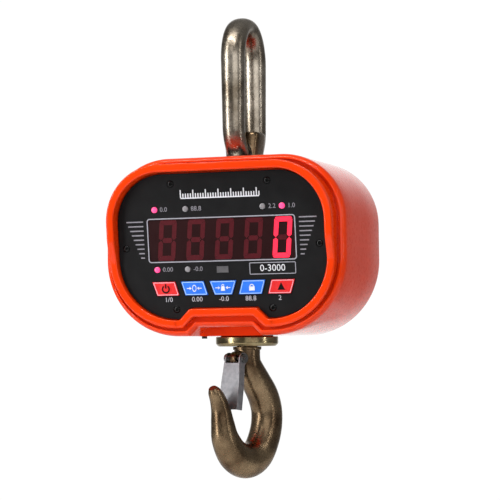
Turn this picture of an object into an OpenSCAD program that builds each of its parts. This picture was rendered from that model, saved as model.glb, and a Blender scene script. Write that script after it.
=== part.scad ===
// Digital crane scale: a swivel-hook hanging scale with a cast housing.
// Frame: X to the right of the display, Y to the rear, Z up. The origin is
// the seat of the suspension ring, where a crane hook carries the scale.

/* [Housing] */
// Overall width of the cast housing
housing_w = 237; // [225:1:250]
// Overall height of the cast housing
housing_h = 168; // [165:1:172]
// Radius of the two upper corners seen from the front
top_corner_r = 62; // [58:1:66]
// Radius of the two lower corners seen from the front
low_corner_r = 72; // [66:1:74]
// Distance from the load axis forward to the shoulder of the housing
shoulder_y = 66; // [64:1:70]
// Distance from the load axis back to the rear face
rear_y = 58; // [56:1:62]
// Thickness of the cast walls
wall = 5; // [4:0.5:6]
// Height of the housing centre above the centre of the display plane
housing_rise = 1; // [0:0.5:2]

/* [Visor] */
// Width of the visor rim face
rim_w = 7.5; // [6:0.5:9]
// Step between the housing side and the visor
rim_inset = 7.5; // [6:0.5:9]
// Forward reach of the visor just above mid height
visor_high_y = 82; // [80:1:86]
// Forward reach of the visor just below mid height
visor_low_y = 74; // [72:1:78]

/* [Panel] */
// Forward distance of the panel face at mid height
panel_y = 70; // [68:0.5:71]
// Forward lean of the panel, top towards the reader
panel_lean = 6.7; // [5:0.1:8]
// Thickness of the panel
panel_t = 3; // [2.5:0.5:4]
// Height of the display digits
digit_h = 38; // [34:1:40]
// Travel of the keys
key_travel = 0.6; // [0.4:0.1:0.8]

/* [Suspension ring] */
// Spacing between the two legs of the ring
ring_spacing = 62; // [60:1:64]
// Diameter of the ring bar along the legs
ring_bar = 23; // [22:0.5:24]
// Length of the straight legs
ring_leg = 64; // [56:1:80]
// Radial thickness of the ring at its crown
crown_t = 16.5; // [14:0.5:18]
// Height of the ring bar centre in the lug above the display centre
lug_hole_z = 86; // [85:0.5:88]

/* [Hook] */
// Heading of the hook point, degrees from straight ahead to the left
hook_heading = 20; // [0:1:90]
// Diameter of the hook shank in its bearing
shank_d = 20; // [19:0.5:21]
// Diameter of the swivel flange
flange_d = 60; // [56:1:62]
// Latch closed lean towards the hook point
latch_lean = 8.5; // [6:0.5:9]

/* [Hidden] */

ring_top_arc_z = lug_hole_z + ring_spacing / 2 + ring_leg;
ring_outer_r = ring_spacing / 2 + ring_bar / 2;
seat_z = ring_top_arc_z + ring_outer_r - crown_t;

hw = housing_w / 2;
hh = housing_h / 2;
open_inset = rim_inset + rim_w;
panel_gap = 0.8;
seal_t = 1;

smooth = 64;
big_span = 400;

// ---------- shared shapes ----------

// Everything is drawn about the display centre and lifted to the ring seat
module rig() translate([0, 0, -seat_z]) children();

// Points of a rounded rectangle, n segments in each corner
function round_rect(half_w, half_h, r, n = 20) =
  [for (c = [[1, 1, 0], [-1, 1, 90], [-1, -1, 180], [1, -1, 270]], k = [0:n])
    [c[0] * (half_w - r) + r * cos(c[2] + 90 * k / n),
     c[1] * (half_h - r) + r * sin(c[2] + 90 * k / n)]];

// Corner centre and radius of the housing outline: upper (t = 1) or lower (t = -1)
function corner_radius(t) = t > 0 ? top_corner_r : low_corner_r;
function corner_centre(s, t) = [s * (hw - corner_radius(t)),
  t * (hh - corner_radius(t)) + housing_rise];

// The housing outline drawn in by an even amount
function outline(inset, n = 20) =
  [for (c = [[1, 1, 0], [-1, 1, 90], [-1, -1, 180], [1, -1, 270]], k = [0:n])
    let (a = c[2] + 90 * k / n, r = corner_radius(c[1]) - inset)
    corner_centre(c[0], c[1]) + r * [cos(a), sin(a)]];

// A slab whose outline lies in XZ, from y0 back to y1
module slab(y0, y1) translate([0, y1, 0]) rotate([90, 0, 0])
  linear_extrude(y1 - y0) children();

// A slab on the leaning panel plane; depth counts back from the panel face
module on_panel() translate([0, -panel_y, 0]) rotate([panel_lean, 0, 0]) children();
module panel_slab(front, back) on_panel() slab(front, back) children();

// A cylinder along Y, from y0 back to y1
module bar_y(y0, y1, d, fn = 32) translate([0, y1, 0]) rotate([90, 0, 0])
  cylinder(d = d, h = y1 - y0, $fn = fn);

// A cylinder along X centred on the origin
module bar_x(len, d, fn = 32) rotate([0, 90, 0])
  cylinder(d = d, h = len, center = true, $fn = fn);

// Points of a superellipse, the section of a forged bar
function bar_section(a, b, sides, power) =
  [for (k = [0:sides - 1]) let (t = 360 * k / sides, c = cos(t), s = sin(t))
    [a * sign(c) * pow(abs(c), 2 / power), b * sign(s) * pow(abs(s), 2 / power)]];

// Smooth curve through stations (Catmull-Rom), per segment steps
function blend_at(p0, p1, p2, p3, t) =
  0.5 * ((2 * p1) + (p2 - p0) * t + (2 * p0 - 5 * p1 + 4 * p2 - p3) * t * t
         + (3 * p1 - p0 - 3 * p2 + p3) * t * t * t);
function through(s, steps) = let (last = len(s) - 1)
  concat([for (i = [0:last - 1], k = [0:steps - 1])
    blend_at(s[max(i - 1, 0)], s[i], s[i + 1], s[min(i + 2, last)], k / steps)],
    [s[last]]);

// Sweeps a bar section along stations [u, z, half in plane, half across]
module planar_sweep(st, sides, closed = false, power = 2.2) {
  n = len(st);
  rings = [for (i = [0:n - 1]) let (
      a = closed ? (i + n - 1) % n : max(i - 1, 0),
      b = closed ? (i + 1) % n : min(i + 1, n - 1),
      d = [st[b][0] - st[a][0], st[b][1] - st[a][1]],
      m = norm(d), nu = d[1] / m, nz = -d[0] / m)
    [for (q = bar_section(st[i][2], st[i][3], sides, power))
      [st[i][0] + nu * q[0], q[1], st[i][1] + nz * q[0]]]];
  points = [for (r = rings) each r];
  wraps = closed ? n - 1 : n - 2;
  skin = [for (i = [0:wraps], k = [0:sides - 1]) let (
      j = (i + 1) % n, l = (k + 1) % sides)
    [i * sides + k, j * sides + k, j * sides + l, i * sides + l]];
  ends = closed ? [] : [[for (k = [0:sides - 1]) k],
                        [for (k = [sides - 1:-1:0]) (n - 1) * sides + k]];
  polyhedron(points, concat(skin, ends), convexity = 6);
}

// ---------- panel layout, in the plane of the panel ----------

frame_cz = 7;
window_half = [72, 19.6];
key_z = frame_cz - 45.4;
key_h = 12.9;
// Each key: centre along its top and bottom edge, half width at top and bottom
keys = [[-59, -55, 11.2, 10.9], [-30.4, -26.5, 11.1, 11.1], [0, 0, 13, 8.4],
        [30.4, 26.5, 11.1, 11.1], [59, 55, 11.2, 10.9]];
screw_spots = [for (s = [-1, 1]) each
  [[s * 47.7, 52.8 + frame_cz], [s * 95.4, frame_cz - 6.7], [s * 47.5, frame_cz - 65.2]]];
led_spots = [[-65.1, 29], [-34, 29], [42.1, 29], [60.9, 29], [-65.2, -27.5], [-34.5, -27.5]];
led_d = 6;
ir_spot = [0, frame_cz - 28.4];
ir_half = [5.9, 3.1];
digit_pitch = 28.4;
digit_spots = [for (i = [-2:2]) i * digit_pitch + 3.2];
notch_top_z = frame_cz - 64.5;

// Trapezoid of the notch over the swivel with 45 degree sides, grown evenly
notch_half = 33;
notch_foot = -120;
function notch(grow) = let (z1 = notch_top_z + grow, w1 = notch_half + grow * tan(22.5),
    w2 = w1 + z1 - notch_foot)
  [[-w1, z1], [w1, z1], [w2, notch_foot], [-w2, notch_foot]];

// Slanted key outline, grown by an even amount
function key_shape(k, grow = 0) = let (q = keys[k], h = key_h / 2 + grow)
  [[q[0] - q[2] - grow, h], [q[0] + q[2] + grow, h],
   [q[1] + q[3] + grow, -h], [q[1] - q[3] - grow, -h]];

// ---------- housing ----------

visor_mid = -3;
visor_soft = 17;
lean_slope = tan(panel_lean);
// Side profile of the visor lip, swept across the width
function visor_front(z) = let (
    t = min(1, max(0, (z - visor_mid + visor_soft) / (2 * visor_soft))),
    s = t * t * (3 - 2 * t))
  -(visor_low_y + (visor_high_y - visor_low_y) * s
    + lean_slope * (z - (z > visor_mid ? min(z, 14) : max(z, -20))));
visor_profile = [for (z = [-90:5:90]) [visor_front(z), z]];

edge_r = 8;
cover_inset = 7;
ledge_w = 7;
cover_y = 50;
cover_t = 5;
gasket_t = 2;
hanger_spots = [for (x = [-38, 38], y = [-24, 24]) [x, y]];
hanger_head_h = 2.6;
guide_spots = [for (x = [-40, 40], y = [-18, 18]) [x, y]];
guide_head = [7, 2.4];
// Vent plug in the floor, left of the swivel
vent_spot = [-42, -4];
vent_stem_d = 3;
vent_head = [5.2, 2.2];
seal_half = [25, 40];
cup_d = 50;
pocket_back = -36;
floor_z = housing_rise - hh;
roof_z = housing_rise + hh;
socket_spot = [-64, -38];

module soft_prism(inset, y0, y1) {
  slab(y0 + edge_r, y1 - edge_r) polygon(outline(inset));
  hull() {
    slab(y0 + edge_r - 0.01, y0 + edge_r) polygon(outline(inset, 12));
    slab(y0 + edge_r * 0.3, y0 + edge_r * 0.3 + 0.01) polygon(outline(inset + edge_r * 0.29, 12));
    slab(y0, y0 + 0.01) polygon(outline(inset + edge_r * 0.75, 12));
  }
  hull() {
    slab(y1 - edge_r, y1 - edge_r + 0.01) polygon(outline(inset, 12));
    slab(y1 - edge_r * 0.3, y1 - edge_r * 0.3 + 0.01) polygon(outline(inset + edge_r * 0.29, 12));
    slab(y1 - 0.01, y1) polygon(outline(inset + edge_r * 0.75, 12));
  }
}

// The visor rim: an outline ring trimmed to the curved lip profile
module across(len) rotate([90, 0, 90]) linear_extrude(len, center = true) children();
module visor_blank() intersection() {
  slab(-96, -shoulder_y + edge_r + 1) polygon(outline(rim_inset));
  across(big_span) polygon(concat(visor_profile, [[0, 90], [0, -90]]));
}

front_wall = 5;
opening_half = [90, 52];
opening_cz = 2;
// Everything that is hollow behind the front wall
module cavity() difference() {
  union() {
    slab(-shoulder_y + 14, cover_y - 8) polygon(outline(wall));
    intersection() {
      slab(-90, -shoulder_y + 15) polygon(outline(rim_inset + wall));
      panel_slab(panel_t + seal_t + front_wall, 60) square(big_span, center = true);
    }
  }
  slab(-99, -shoulder_y + wall) polygon(notch(wall - rim_w));
  slab(-99, pocket_back + wall) polygon(notch(wall - 2 * rim_w));
}

module main_housing() color("orangered") rig() difference() {
  union() {
    soft_prism(0, -shoulder_y, rear_y);
    visor_blank();
  }
  // the reading recess in front of the panel, less the notch over the swivel
  intersection() {
    slab(-99, 0) difference() {
      polygon(outline(open_inset));
      polygon(notch(0));
    }
    panel_slab(-60, panel_t + seal_t) square(big_span, center = true);
  }
  // window through the front wall for the electronics
  panel_slab(1, 30) translate([0, opening_cz])
    square(2 * opening_half, center = true);
  cavity();
  // rear opening: a ledge for the gasket, and the cover's own recess
  slab(cover_y - 9, cover_y) polygon(outline(cover_inset + ledge_w));
  slab(cover_y - gasket_t, rear_y + 1) polygon(outline(cover_inset));
  // step under the visor notch and the pocket over the swivel flange
  slab(-99, -shoulder_y) polygon(notch(-rim_w));
  slab(-99, pocket_back) polygon(notch(-2 * rim_w));
  // roof opening for the lug, floor opening for the bearing cup
  translate([0, 0, roof_z - 20]) linear_extrude(40)
    polygon(round_rect(seal_half[0], seal_half[1], 8, 8));
  translate([0, 0, floor_z - 20]) cylinder(d = cup_d + 1, h = 40, $fn = smooth);
  for (p = hanger_spots) translate([p[0], p[1], roof_z]) {
    translate([0, 0, -9]) cylinder(d = 5, h = 20, $fn = 24);
    translate([0, 0, -hanger_head_h - 0.2]) cylinder(d = 9.6, h = 20, $fn = 32);
  }
  for (p = guide_spots) translate([p[0], p[1], floor_z - 9]) {
    cylinder(d = 5, h = 20, $fn = 24);
    cylinder(d = guide_head[0] + 0.6, h = 9 + guide_head[1] + 0.2, $fn = 32);
  }
  translate([vent_spot[0], vent_spot[1], floor_z - 1]) cylinder(d = vent_stem_d + 0.2, h = 9, $fn = 24);
  on_panel() for (p = screw_spots) translate([p[0], 0, p[1]])
    bar_y(-1, panel_t + 9, 3.2, 24);
  for (p = cover_screw_spots) translate([p[0], 0, p[1]]) bar_y(cover_y - 12, cover_y, 4.2, 24);
}

// Screw centres run round the middle of the rear ledge
cover_screw_inset = cover_inset + ledge_w / 2;
cover_screw_spots = [for (s = [-1, 1]) each concat(
  [[s * (hw - cover_screw_inset), housing_rise]],
  [for (t = [-1, 1], a = [42, 90]) corner_centre(s, t)
    - [s * (a == 90 ? 12 : 0), 0]
    + (corner_radius(t) - cover_screw_inset) * [s * cos(a), t * sin(a)]])];
cover_gap = 0.3;
cap_head = [6.9, 2.8];

module rear_cover() color("orangered") rig() difference() {
  slab(cover_y, cover_y + cover_t) polygon(outline(cover_inset + cover_gap));
  for (p = cover_screw_spots) translate([p[0], 0, p[1]]) bar_y(cover_y - 1, cover_y + 6, 4.4);
  translate([socket_spot[0], 0, socket_spot[1]]) bar_y(cover_y - 1, cover_y + 6, 12.2, smooth);
}

module rear_gasket() color("dimgray") rig() difference() {
  slab(cover_y - gasket_t, cover_y) difference() {
    polygon(outline(cover_inset + cover_gap));
    polygon(outline(cover_inset + ledge_w));
  }
  for (p = cover_screw_spots) translate([p[0], 0, p[1]]) bar_y(cover_y - 4, cover_y + 1, 4.6);
}

// A hex-socket screw: head in front of y = 0, shank running to +Y
module cap_screw(head, shank, len) {
  difference() {
    bar_y(-head[1], 0, head[0], 32);
    bar_y(-head[1] - 1, -head[1] * 0.4, head[0] * 0.5, 6);
  }
  bar_y(-0.01, len, shank, 24);
}

module rear_cover_screws() color("silver") rig() for (p = cover_screw_spots)
  translate([p[0], cover_y + cover_t, p[1]]) rotate([0, 0, 180]) cap_screw(cap_head, 4, 14);

// ---------- front panel and display ----------

module panel_cutouts() {
  translate([0, frame_cz]) square(2 * window_half, center = true);
  for (k = [0:4]) translate([0, key_z]) polygon(key_shape(k, 0.35));
  translate(ir_spot) square(2 * ir_half, center = true);
}

module faceplate() color([0.1, 0.1, 0.11]) rig() difference() {
  panel_slab(0, panel_t) difference() {
    polygon(outline(open_inset + panel_gap));
    polygon(notch(panel_gap));
    panel_cutouts();
  }
  on_panel() for (p = screw_spots) translate([p[0], 0, p[1]]) {
    bar_y(-1, panel_t + 1, 3.6);
    bar_y(-1, 1.4, 7);
  }
  on_panel() for (p = led_spots) translate([p[0], 0, p[1] + frame_cz])
    bar_y(-1, panel_t + 1, led_d + 0.2);
}

module panel_gasket() color("dimgray") rig() panel_slab(panel_t, panel_t + seal_t) difference() {
  polygon(outline(open_inset + panel_gap));
  translate([0, opening_cz]) square(2 * opening_half, center = true);
  polygon(notch(panel_gap));
  for (p = screw_spots) translate(p) circle(d = 9, $fn = 24);
}

module faceplate_screws() color([0.08, 0.08, 0.08]) rig() on_panel()
  for (p = screw_spots) translate([p[0], 1.4, p[1]]) cap_screw([6.4, 1.9], 3, 8);

module display_window() color([0.25, 0.03, 0.05]) rig() panel_slab(0.6, 2.6)
  translate([0, frame_cz]) square(2 * window_half - [0.2, 0.2], center = true);

// ---- seven-segment digit ----
seg_w = 4.6;
slant = 6;
module segment(len) polygon([[-len / 2, 0], [-len / 2 + seg_w / 2, seg_w / 2],
  [len / 2 - seg_w / 2, seg_w / 2], [len / 2, 0], [len / 2 - seg_w / 2, -seg_w / 2],
  [-len / 2 + seg_w / 2, -seg_w / 2]]);

module digit_body() difference() {
  panel_slab(3.1, 3.1 + 8) translate([0, frame_cz])
    square([digit_pitch - 0.4, digit_h + 3], center = true);
  panel_slab(3, 3.9) translate([0, frame_cz]) for (z = [-1, 0, 1])
    translate([z * (digit_h - seg_w) / 2 * tan(slant), z * (digit_h - seg_w) / 2]) segment(15);
}
module digit(i) color([0.15, 0.05, 0.05]) rig() translate([digit_spots[i - 1], 0, 0]) digit_body();

module indicator_leds() color("hotpink") rig() on_panel() for (p = led_spots)
  translate([p[0], 0, p[1] + frame_cz]) {
    bar_y(-0.7, 8, led_d - 0.2);
    bar_y(4.2, 8.01, led_d + 1);
    for (s = [-1, 1]) translate([s * 1.27, 0, 0]) bar_y(7.9, 14.2, 0.6, 12);
  }

module infrared_window() color([0.2, 0.2, 0.22]) rig() panel_slab(0.2, 2.4)
  translate(ir_spot) square(2 * ir_half - [0.3, 0.3], center = true);

module infrared_receiver() color([0.1, 0.1, 0.1]) rig() on_panel()
  translate([ir_spot[0], 0, ir_spot[1]]) {
    slab(5, 11.15) square([7, 6], center = true);
    translate([0, 5, 0]) sphere(d = 4, $fn = 24);
  }

board_front = 11.2;
board_t = 1.6;
standoff_spots = [for (x = [-84, 84], z = [-42, 46]) [x, z]];
module display_board() color("darkgreen") rig() on_panel() difference() {
  slab(board_front, board_front + board_t) translate([0, opening_cz])
    square(2 * opening_half - [4, 4], center = true);
  for (p = standoff_spots) translate([p[0], 0, p[1]]) bar_y(board_front - 1, board_front + 3, 3.4);
  for (p = led_spots, s = [-1, 1]) translate([p[0] + s * 1.27, 0, p[1] + frame_cz])
    bar_y(board_front - 1, board_front + 3, 0.9, 13);
}

module board_standoffs() color("gold") rig() on_panel() for (p = standoff_spots)
  translate([p[0], 0, p[1]]) difference() {
    bar_y(panel_t, board_front, 6);
    bar_y(board_front - 6, board_front + 1, 2.5);
  }

module board_screws() color("silver") rig() on_panel() for (p = standoff_spots)
  translate([p[0], board_front + board_t, p[1]]) rotate([0, 0, 180]) {
    bar_y(-2, 0, 5.4);
    bar_y(-0.01, 6, 2.48);
  }

module key_switches() color([0.2, 0.2, 0.2]) rig() on_panel() for (k = keys)
  translate([(k[0] + k[1]) / 2, 0, key_z]) {
    slab(board_front - 4, board_front - 0.02) square([6, 6], center = true);
    bar_y(board_front - 4.6, board_front - 4, 3.4);
  }

// Key cap: a slanted block standing proud of the panel, with a retaining
// flange behind it and a round stem over the switch
key_proud = 1.1;
flange_front = panel_t + 0.2;
module key(k, tint) color(tint) rig() on_panel() translate([0, 0, key_z]) {
  slab(-key_proud, flange_front + 0.01) polygon(key_shape(k));
  slab(flange_front, flange_front + 1) polygon(key_shape(k, 1));
  translate([(keys[k][0] + keys[k][1]) / 2, 0, 0])
    bar_y(flange_front + 0.9, board_front - 4.6 - key_travel - 0.3, 4);
}
module key_power() key(0, "red");
module key_zero() key(1, "royalblue");
module key_tare() key(2, "royalblue");
module key_hold() key(3, "royalblue");
module key_second() key(4, "red");

// ---------- electronics and power ----------

main_board_y = 30;
main_pillar_spots = [for (x = [54, 92], z = [-34, 34]) [x, z]];
module main_board() color("darkgreen") rig() difference() {
  slab(main_board_y, main_board_y + board_t) translate([73, 0]) square([52, 84], center = true);
  for (p = main_pillar_spots) translate([p[0], 0, p[1]]) bar_y(main_board_y - 1, main_board_y + 3, 3.4);
}
module main_board_pillars() color("gold") rig() for (p = main_pillar_spots)
  translate([p[0], 0, p[1]]) difference() {
    bar_y(main_board_y + board_t, cover_y, 6);
    bar_y(main_board_y, main_board_y + 8, 2.5);
  }
module main_board_screws() color("silver") rig() for (p = main_pillar_spots)
  translate([p[0], main_board_y, p[1]]) {
    bar_y(-2, 0, 5.4);
    bar_y(-0.01, 7, 2.48);
  }
module amplifier_shield() color("lightgray") rig()
  slab(main_board_y - 6, main_board_y) translate([74, 14]) square([26, 22], center = true);
module wire_headers() color("ivory") rig() for (z = [-24, -12, 0])
  slab(main_board_y - 8, main_board_y) translate([92, z]) square([7, 9], center = true);
module buzzer() color([0.1, 0.1, 0.1]) rig() translate([68, 0, -22]) difference() {
  bar_y(main_board_y - 9, main_board_y, 14);
  bar_y(main_board_y - 10, main_board_y - 7, 2.4);
}

battery_lo = [-95, -25, -48];
battery_size = [46, 64, 94];
module battery() color([0.2, 0.22, 0.25]) rig() translate(battery_lo) cube(battery_size);
module battery_terminals() color("silver") rig() for (y = [10, 54])
  translate(battery_lo + [battery_size[0] / 2, y, battery_size[2]])
    translate([-2.4, -0.4, 0]) cube([4.8, 0.8, 7]);
strap_t = 1.6;
strap_w = 24;
strap_rise = 14;
module battery_bracket() color("lightgray") rig() difference() {
  // the two arms of the bracket reach back to the rear cover
  translate(battery_lo + [-strap_t, -strap_t, strap_rise])
    cube([battery_size[0] + 2 * strap_t, cover_y - battery_lo[1] + strap_t, strap_w]);
  translate(battery_lo - [0, 0, 1]) cube(battery_size + [0, big_span, 2]);
}

module charge_socket() color([0.1, 0.1, 0.1]) rig()
  translate([socket_spot[0], 0, socket_spot[1]]) difference() {
    union() {
      bar_y(cover_y - 0.01, cover_y + 5.4, 12, smooth);
      bar_y(cover_y + 5.01, cover_y + 6.6, 15, smooth);
    }
    bar_y(cover_y + 1, cover_y + 8, 5.6, smooth);
  }

// ---------- load train ----------

cell_top = 36;
cell_bottom = -42;
cell_half = [32, 15];
cell_bore_d = 15;
// S-shaped load cell with a double bore between two slots
module load_cell() color("silver") rig() difference() {
  slab(-cell_half[1], cell_half[1]) polygon([
    [-cell_half[0], cell_bottom], [cell_half[0], cell_bottom],
    [cell_half[0], cell_top], [-cell_half[0], cell_top]]);
  // load slots that make the S
  slab(-20, 20) translate([-cell_half[0] - 1, 12]) square([54, 3.2]);
  slab(-20, 20) translate([cell_half[0] - 53, -29]) square([54, 3.2]);
  // gauge bores joined by a window
  for (x = [-9, 9]) translate([x, 0, -7]) bar_y(-20, 20, cell_bore_d, smooth);
  slab(-20, 20) translate([-9, -10]) square([18, 6]);
  translate([0, 0, cell_top - 22]) cylinder(d = 20.02, h = 30, $fn = smooth);
  translate([0, 0, cell_bottom - 1]) cylinder(d = 20.02, h = 16, $fn = smooth);
}
module gauge_covers() color("goldenrod") rig() for (s = [-1, 1])
  translate([0, s * (cell_half[1] + 0.75), -7]) cube([40, 1.5, 20], center = true);

// Screened lead from the cell's gland to the header on the main board
lead_z = -12;
lead_r = 1.6;
gland_len = 6;
lead_stations = [for (p = [[38.2, 0], [46, 0], [60, 1], [76, 4], [88, 11], [92, 18], [92, 21.6]])
  [p[0], p[1], lead_r, lead_r]];
module cell_gland() color("silver") rig() translate([cell_half[0], 0, lead_z]) rotate([0, 90, 0])
  cylinder(d = 8, h = gland_len, $fn = smooth);
module load_cell_lead() color("dimgray") rig() translate([0, 0, lead_z]) rotate([-90, 0, 0])
  planar_sweep(through(lead_stations, 4), 10);

lug_top = 112;
lug_bottom = 42;
lug_half_y = 16;
lug_bore_r = 12.6;
lug_land = 3;
stud_d = 20;
module top_lug() color([0.55, 0.47, 0.38]) rig() difference() {
  slab(-lug_half_y, lug_half_y) polygon([
    [-20, lug_bottom], [20, lug_bottom], [20, 76], [15.4, 86], [18.2, 109], [16.4, lug_top],
    [-16.4, lug_top], [-18.2, 109], [-15.4, 86], [-20, 76]]);
  // saddle-shaped eye that follows the bend of the ring
  translate([0, 0, lug_hole_z + ring_spacing / 2]) rotate([0, 90, 0])
    rotate_extrude($fn = 96) translate([ring_spacing / 2, 0]) circle(r = lug_bore_r, $fn = 48);
  // straight land in the middle of the eye, where the ring turns
  translate([0, 0, lug_hole_z]) bar_y(-lug_land, lug_land, 2 * lug_bore_r + 0.02, 96);
  translate([0, 0, lug_bottom - 1]) cylinder(d = stud_d + 0.02, h = 17, $fn = smooth);
}
module lug_stud() color("silver") rig() translate([0, 0, cell_top - 21])
  cylinder(d = stud_d, h = lug_bottom - cell_top + 36, $fn = smooth);
module lug_washer() color("silver") rig() translate([0, 0, cell_top]) difference() {
  cylinder(d = 36, h = lug_bottom - cell_top, $fn = smooth);
  translate([0, 0, -1]) cylinder(d = stud_d + 0.6, h = 20, $fn = smooth);
}

module top_seal() color([0.12, 0.12, 0.12]) rig() translate([0, 0, roof_z - wall]) difference() {
  linear_extrude(wall + 0.6) polygon(round_rect(seal_half[0] - 0.1, seal_half[1] - 0.1, 8, 8));
  translate([0, 0, -1]) linear_extrude(20) polygon(round_rect(seal_half[0] - 3.2, seal_half[1] - 3.2, 6, 8));
}

plate_t = 4;
module hanger_plate() color("silver") rig() translate([0, 0, roof_z - wall - plate_t]) difference() {
  linear_extrude(plate_t) square([96, 81], center = true);
  translate([0, 0, -1]) linear_extrude(9) square([40.4, 54], center = true);
  for (p = hanger_spots) translate([p[0], p[1], -1]) cylinder(d = 4.6, h = 9, $fn = 24);
}
module hanger_screws() color([0.1, 0.1, 0.1]) rig() for (p = hanger_spots)
  translate([p[0], p[1], roof_z - hanger_head_h - 0.2]) {
    cylinder(d = 9, h = hanger_head_h, $fn = 32);
    translate([0, 0, -8]) cylinder(d = 4.5, h = 8.01, $fn = 24);
  }
module guide_plate() color("silver") rig() translate([0, 0, floor_z + wall]) difference() {
  linear_extrude(plate_t) square([92, 60], center = true);
  translate([0, 0, -1]) cylinder(d = cup_d + 0.6, h = 9, $fn = smooth);
  for (p = guide_spots) translate([p[0], p[1], -1]) cylinder(d = 4.6, h = 9, $fn = 24);
  translate([vent_spot[0], vent_spot[1], -1]) cylinder(d = vent_stem_d + 1, h = 9, $fn = 24);
}
module guide_screws() color([0.1, 0.1, 0.1]) rig() for (p = guide_spots)
  translate([p[0], p[1], floor_z + 0.2]) {
    cylinder(d = guide_head[0], h = guide_head[1], $fn = 32);
    cylinder(d = 4.5, h = wall + plate_t, $fn = 24);
  }
module vent_plug() color([0.12, 0.12, 0.12]) rig() translate([vent_spot[0], vent_spot[1], floor_z]) {
  translate([0, 0, -vent_head[1]]) cylinder(d = vent_head[0], h = vent_head[1], $fn = 32);
  translate([0, 0, -0.01]) cylinder(d = vent_stem_d, h = wall + 1, $fn = 24);
}

flange_top = floor_z - 0.8;
flange_bottom = -93;
flange_chamfer = 2.5;
race_t = 3;
ball_d = 6;
ball_pitch_r = 13.8;
race_z = flange_top;
cage_z = race_z + race_t;
cup_top = cell_bottom;
module bearing_cup() color([0.72, 0.66, 0.42]) rig() difference() {
  union() {
    translate([0, 0, flange_bottom + flange_chamfer])
      cylinder(d = flange_d, h = flange_top - flange_bottom - flange_chamfer, $fn = smooth);
    translate([0, 0, flange_bottom])
      cylinder(d1 = flange_d - 2 * flange_chamfer, d2 = flange_d, h = flange_chamfer, $fn = smooth);
    translate([0, 0, flange_top - 0.01]) cylinder(d = cup_d, h = cup_top - flange_top, $fn = smooth);
  }
  translate([0, 0, flange_bottom - 1]) cylinder(d = shank_d + 0.1, h = 20, $fn = smooth);
  translate([0, 0, race_z]) cylinder(d = 42, h = 60, $fn = smooth);
}
module race(z) translate([0, 0, z]) difference() {
  cylinder(d = 41, h = race_t, $fn = smooth);
  translate([0, 0, -1]) cylinder(d = shank_d + (z > race_z ? 0.06 : 0.8), h = 9, $fn = smooth);
}
module bearing_race_lower() color("silver") rig() race(race_z);
module bearing_race_upper() color("silver") rig() race(cage_z + ball_d + 0.1);
module bearing_cage() color("gold") rig() translate([0, 0, cage_z + ball_d / 2 + 0.05]) {
  difference() {
    translate([0, 0, -1.2]) cylinder(d = 38, h = 2.4, $fn = smooth);
    translate([0, 0, -2]) cylinder(d = 21, h = 4, $fn = smooth);
  }
  for (k = [0:9]) rotate([0, 0, 36 * k]) translate([ball_pitch_r, 0, 0]) sphere(d = ball_d, $fn = 24);
}
cap_h = 8;
// Threaded plug that closes the cup and carries it from the load cell
module cup_cap() color("silver") rig() {
  translate([0, 0, cup_top - cap_h]) cylinder(d = 41.98, h = cap_h, $fn = smooth);
  translate([0, 0, cup_top - 0.01]) cylinder(d = 20, h = 15, $fn = smooth);
}
nut_z = cage_z + ball_d + race_t + 0.1;
nut_h = 14;
module hook_nut() color("silver") rig() translate([0, 0, nut_z]) difference() {
  cylinder(d = 34.6, h = nut_h, $fn = 6);
  translate([0, 0, -1]) cylinder(d = shank_d + 0.02, h = nut_h + 2, $fn = smooth);
  translate([0, 0, nut_h / 2]) bar_x(60, 4, 24);
}
module nut_pin() color("silver") rig() translate([0, 0, nut_z + nut_h / 2]) bar_x(35, 3.8, 24);

// ---------- suspension ring ----------

leg_half = ring_bar / 2;
foot_half = 10.7;
low_half = 10.2;
low_arc = [for (k = [0:24]) let (w = -180 + 180 * k / 24,
    h = low_half + (foot_half - low_half) * pow(abs(cos(w)), 1.5))
  [ring_spacing / 2 * cos(w), lug_hole_z + ring_spacing / 2 + ring_spacing / 2 * sin(w), h, h]];
top_arc = [for (k = [0:28]) let (w = 180 * k / 28, s = pow(sin(w), 2),
    h = leg_half + (crown_t / 2 - leg_half) * s, r = ring_outer_r - h)
  [r * cos(w), ring_top_arc_z + r * sin(w), h, leg_half + 0.5 * s]];
module suspension_ring() color([0.62, 0.55, 0.45]) rig() rotate([0, 0, 90])
  planar_sweep(concat(low_arc, top_arc), 28, closed = true, power = 2.1);

// ---------- hook ----------

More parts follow.
